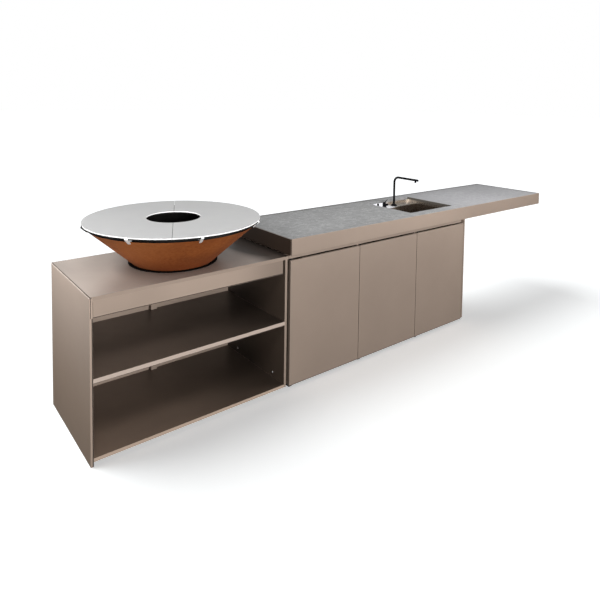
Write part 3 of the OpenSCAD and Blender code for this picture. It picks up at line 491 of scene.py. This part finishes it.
def black(name, tint, roughness, grain=700.0, shine=0.3):
    """Black coat or plastic with a fine grain."""
    s = Shader(name, Specular_IOR_Level=shine)
    fine = s.noise(grain, 3.0)
    s.colour(s.between(fine, scaled(tint, 0.75), scaled(tint, 1.35)))
    s.gloss(s.between(s.noise(40.0, 3.0), roughness - 0.06, roughness + 0.08))
    s.bump(fine, 0.00006, 0.4)
    return s.material


def clip_steel():
    """Bright pressed clips; the one at the left end is painted dark as shade."""
    s = Shader("polished_clip", Metallic=0.35)
    lines = s.noise(90.0, 4.0, 0.6, s.stretched((1.0, 1.0, 12.0)))
    tone = s.between(lines, (0.86, 0.86, 0.86), (0.95, 0.95, 0.95))
    # Painted shade on the clip at the left end
    s.colour(s.mix(s.under(s.at("X"), GRILL_LEFT + 0.11), tone, (0.060, 0.060, 0.062)))
    s.gloss(s.between(lines, 0.20, 0.30))
    return s.material


def heat_board():
    """Pale fibre board."""
    s = Shader("heat_board", Specular_IOR_Level=0.2)
    fibre = s.noise(45.0, 6.0, 0.65, s.stretched((1.0, 3.0, 6.0)))
    s.colour(s.between(fibre, (0.42, 0.40, 0.36), (0.56, 0.54, 0.50)))
    s.gloss(s.between(fibre, 0.8, 0.95))
    s.bump(fibre, 0.0006, 0.6)
    return s.material


coat = powder_coat("taupe_coat")
coat_top = powder_coat("taupe_coat_painted_reflection", (0.352, 0.300, 0.264), roughness=0.36, edge_highlight=0.0,
                       shade=painted_reflection_top, grit=0.08)
coat_panel = powder_coat("taupe_coat_painted_shade", (0.345, 0.275, 0.228), shade=end_panel_painted_shade)
coat_door = powder_coat("taupe_coat_doors", shade=gapped)
coat_fascia = powder_coat("taupe_coat_folded", shade=folded)
# Painted shade: the worktop's left end is painted nearly black
coat_end = powder_coat("taupe_coat_shadowed", (0.047, 0.031, 0.022), edge_highlight=0.3)
# Painted shade: the shelves, sides and cleats of the bays take the darker tone
coat_shelf = powder_coat("taupe_coat_dark_shelf", scaled(TAUPE, 1.2),
                         dark=scaled(DARK_TONE, 1.38), dark_axis="Z", shade=lipped)
coat_side = powder_coat("taupe_coat_dark_side", dark=scaled(DARK_TONE, 0.6), dark_axis="X",
                        shade=bay_painted_shade)
coat_dark = powder_coat("dark_coat", DARK_TONE, edge_highlight=0.0)
coat_back = powder_coat("taupe_coat_back", scaled(TAUPE, 0.82), edge_highlight=0.0, shade=lit)
coat_slab = powder_coat("taupe_coat_worktop", shade=front_painted_light)
coat_edge = powder_coat("taupe_coat_dark_edge", dark=scaled(DARK_TONE, 0.8), dark_axis="Z",
                        edge_highlight=0.0)
coat_rail = powder_coat("taupe_coat_rail", scaled(TAUPE, 0.92), edge_highlight=0.0, shade=tucked)
steel = brushed("stainless", (0.66, 0.66, 0.67))
black_coat = black("black_coat", (0.0015, 0.0015, 0.0025), 0.55, shine=0.06)
black_ring = black("black_ring", (0.0015, 0.0015, 0.0015), 0.70, shine=0.03)
black_plastic = black("black_plastic", (0.020, 0.020, 0.021), 0.55, grain=420.0)

FINISH = {
    coat: ["rail_back", "bar_underside", "cabinet_back", "cabinet_side_right"],
    coat_top: ["grill_top"],
    coat_panel: ["end_panel"],
    coat_door: ["door_1", "door_2", "door_3"],
    coat_fascia: ["grill_fascia"],
    coat_end: ["worktop_end_left"],
    coat_shelf: ["grill_shelf", "grill_bottom", "bay_shelf_1", "bay_shelf_2",
                 "cabinet_bottom"],
    coat_side: ["inner_side_panel", "cabinet_side_left", "partition_1", "partition_2"],
    coat_dark: ["shelf_cleats"],
    coat_back: ["back_panel_left", "back_panel_right", "back_post"],
    coat_slab: ["worktop_front"],
    coat_edge: ["worktop_back", "worktop_end_right"],
    coat_rail: ["rail_front"],
    steel: ["drain_cup", "drain_plug", "tap_nuts", "shelf_clips", "joining_bolts"],
    black_coat: ["tap_base", "tap_spout", "tap_nozzle", "mixer_body", "mixer_lever",
                 "mixer_knob", "plug_knob_base", "plug_knob"],
    black_ring: ["bowl_ring"],
    black_plastic: ["grill_feet", "cabinet_feet", "door_catches", "bottle_trap",
                    "top_pivots", "bottom_pivots"],
    frame_steel(): ["grill_beams", "worktop_beams", "worktop_braces"],
    heat_board(): ["heat_board"],
    cooking_plate(): ["plate_left", "plate_right"],
    clip_steel(): ["plate_clips"],
    rusted_bowl(): ["fire_bowl"],
    stone(): ["stone_top"],
    sink_steel(): ["sink_bowl"],
}
for material, names in FINISH.items():
    for name in names:
        for slot in nodes[name].material_slots:
            slot.material = material


# Small pieces on the back: a rubber grommet in the hose hole and the panels' screws.
# Their profiles are pairs of radius and height over the panel's face. The screws stand in
# columns: each face has its Y and its columns' X.
GROMMET = [(0.0142, -0.012), (0.0142, 0.0), (0.0182, 0.0), (0.0190, 0.0012),
           (0.0184, 0.0027), (0.0165, 0.0035), (0.0135, 0.0035), (0.0119, 0.0024),
           (0.0114, 0.0005), (0.0114, -0.012)]
SCREW = [(0.0042, 0.0), (0.0045, 0.0004), (0.0043, 0.0012), (0.0036, 0.0019),
         (0.0026, 0.0022), (0.0019, 0.0022), (0.0017, 0.0020), (0.0017, 0.0008)]
HOSE_HOLE = (0.457, 0.330, 0.630)
SCREW_COLUMNS = [(0.348, (-2.060, -1.560, -1.450, -0.940)),
                 (0.330, (-0.868, -0.283, 0.317, 0.897))]
SCREW_HEIGHTS = (0.06, 0.42, 0.79)


def turned(name, profile, places, material, hollow=False, around=24):
    """Turned pieces in one mesh, with their axes along Y."""
    turns = [2.0 * math.pi * i / around for i in range(around)]
    shape = bmesh.new()

    def vertex(place, radius, height, turn):
        out = Vector((radius * math.cos(turn), height, radius * math.sin(turn)))
        return shape.verts.new(Vector(place) + out)

    for place in places:
        rings = [[vertex(place, radius, height, turn) for turn in turns]
                 for radius, height in profile]
        for near, far in zip(rings, rings[1:] + rings[:1] if hollow else rings[1:]):
            for i in range(around):
                shape.faces.new((near[i], near[i - 1], far[i - 1], far[i])).smooth = True
        if not hollow:
            shape.faces.new(rings[0])
            shape.faces.new(rings[-1])
    bmesh.ops.recalc_face_normals(shape, faces=shape.faces)
    mesh = bpy.data.meshes.new(name)
    shape.to_mesh(mesh)
    shape.free()
    mesh.materials.append(material)
    piece = bpy.data.objects.new(name, mesh)
    bpy.context.scene.collection.objects.link(piece)
    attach(piece, "kitchen")


turned("hose_grommet", GROMMET, [HOSE_HOLE], black_plastic, hollow=True, around=40)
screws = [(x, y, z) for y, columns in SCREW_COLUMNS for x in columns for z in SCREW_HEIGHTS]
turned("back_screws", SCREW, screws, steel)


# Studio: a wide white floor and a white room. The room's light comes from behind and
# above, so the tops shine and the fronts stay darker. The floor has a light of its own,
# which leaves a soft shadow of the cabinets in front; the bowl and what it carries are
# taken out of that shadow. The softboxes light the kitchen only.
def collection(name, members, state):
    """A group for light linking, whose members are all included or all excluded."""
    group = bpy.data.collections.new(name)
    for member in members:
        group.objects.link(member)
    for entry in group.collection_objects:
        entry.light_linking.link_state = state
    return group


def floor():
    """White and faintly glowing, so that its shadows stay pale. It sends no light back
    to the kitchen."""
    mesh = bpy.data.meshes.new("floor")
    far = 60.0
    low = -0.0006
    corners = [(-far, -far, low), (far, -far, low), (far, far, low), (-far, far, low)]
    mesh.from_pydata(corners, [], [(0, 1, 2, 3)])
    ground = bpy.data.objects.new("floor", mesh)
    bpy.context.scene.collection.objects.link(ground)
    ground.visible_diffuse = False
    ground.visible_glossy = False
    s = Shader("floor_white", Roughness=0.9, Specular_IOR_Level=0.0)
    s.surface.inputs["Base Color"].default_value = (0.77, 0.80, 0.81, 1)
    s.surface.inputs["Emission Color"].default_value = (1, 1, 1, 1)
    s.surface.inputs["Emission Strength"].default_value = 0.545
    mesh.materials.append(s.material)
    return ground


def room():
    """Plain white to the camera; as light, strongest from behind and above."""
    world = bpy.data.worlds.new("studio")
    bpy.context.scene.world = world
    world.use_nodes = True
    s = Nodes(world.node_tree)
    background = world.node_tree.nodes["Background"]
    behind = s.span(s.axis("Generated", "Y"), -0.15, 0.45, 0.0, 0.42)
    above = s.span(s.axis("Generated", "Z"), -0.10, 0.05, 0.35, 1.0)
    seen = s.add("ShaderNodeLightPath").outputs["Is Camera Ray"]
    background.inputs["Color"].default_value = (1.0, 1.0, 1.0, 1)
    s.link(s.math("MAXIMUM", s.times(behind, above), seen), background.inputs["Strength"])


def lamp(light, at, toward, receivers):
    """Hangs a light at a place, aimed at a point, for its receivers only."""
    holder = bpy.data.objects.new(light.name, light)
    bpy.context.scene.collection.objects.link(holder)
    holder.location = at
    holder.rotation_euler = (Vector(toward) - Vector(at)).to_track_quat("-Z", "Y").to_euler()
    holder.visible_camera = False
    holder.light_linking.receiver_collection = receivers
    return holder


def softbox(name, at, toward, width, height, power, receivers):
    """A rectangular light: sizes in metres, power in watts."""
    light = bpy.data.lights.new(name, "AREA")
    light.shape = "RECTANGLE"
    light.size = width
    light.size_y = height
    light.energy = power
    lamp(light, at, toward, receivers)


def floor_light(receivers, blockers):
    """A broad sun from behind, whose soft shadow falls in front."""
    light = bpy.data.lights.new("floor_light", "SUN")
    light.angle = math.radians(40.0)
    light.energy = 2.5
    holder = lamp(light, (-2.20, 2.20, 4.0), (0.0, 0.0, 0.0), receivers)
    holder.light_linking.blocker_collection = blockers


def camera():
    """Looks along the yaw, tilted down by the pitch and rolled about its own axis."""
    forward = Vector((math.sin(YAW) * math.cos(PITCH), math.cos(YAW) * math.cos(PITCH),
                      -math.sin(PITCH)))
    right = Vector((math.cos(YAW), -math.sin(YAW), 0.0))
    up = right.cross(forward)
    rolled_right = right * math.cos(ROLL) + up * math.sin(ROLL)
    rolled_up = up * math.cos(ROLL) - right * math.sin(ROLL)
    turn = Matrix((rolled_right, rolled_up, -forward)).transposed()
    lens = bpy.data.cameras.new("camera")
    lens.sensor_width = 36.0
    lens.lens = LENS
    lens.shift_y = SHIFT_Y
    holder = bpy.data.objects.new("camera", lens)
    bpy.context.scene.collection.objects.link(holder)
    holder.matrix_world = Matrix.Translation(CAMERA_AT) @ turn.to_4x4()
    bpy.context.scene.camera = holder


NO_SHADOW = ("fire_bowl", "bowl_ring", "plate_clips", "plate_left", "plate_right")

ground = floor()
room()
floor_light(collection("floor_only", [ground], "INCLUDE"),
            collection("no_shadow", [nodes[name] for name in NO_SHADOW], "EXCLUDE"))
kitchen = collection("all_but_floor", [ground], "EXCLUDE")
panel = collection("end_panel_only", [nodes["end_panel"]], "INCLUDE")
softbox("front_right", (3.4, -5.0, 1.7), (0.0, 0.0, 0.5), 3.0, 1.6, 119.0, kitchen)
softbox("front_left", (-2.6, -4.6, 1.6), (-0.8, 0.3, 0.5), 2.0, 1.0, 202.0, kitchen)
softbox("left_above", (-3.0, 0.45, 2.1), (-2.1, 0.35, 0.7), 0.8, 0.8, 58.0, kitchen)
softbox("left_panel", (-2.50, 0.05, 1.40), (-2.1, 0.05, 0.7), 0.4, 0.4, 8.0, panel)
softbox("front_above", (-2.2, -1.5, 2.2), (-1.5, 0.0, 0.8), 1.2, 0.5, 23.0, kitchen)
softbox("right_above", (1.6, -1.3, 2.4), (1.2, 0.0, 0.8), 1.6, 0.5, 62.0, kitchen)
softbox("overhead", (-0.5, 0.2, 4.5), (-0.5, 0.2, 0.9), 5.0, 3.0, 116.0, kitchen)
camera()
bpy.context.scene.view_settings.view_transform = "Standard"
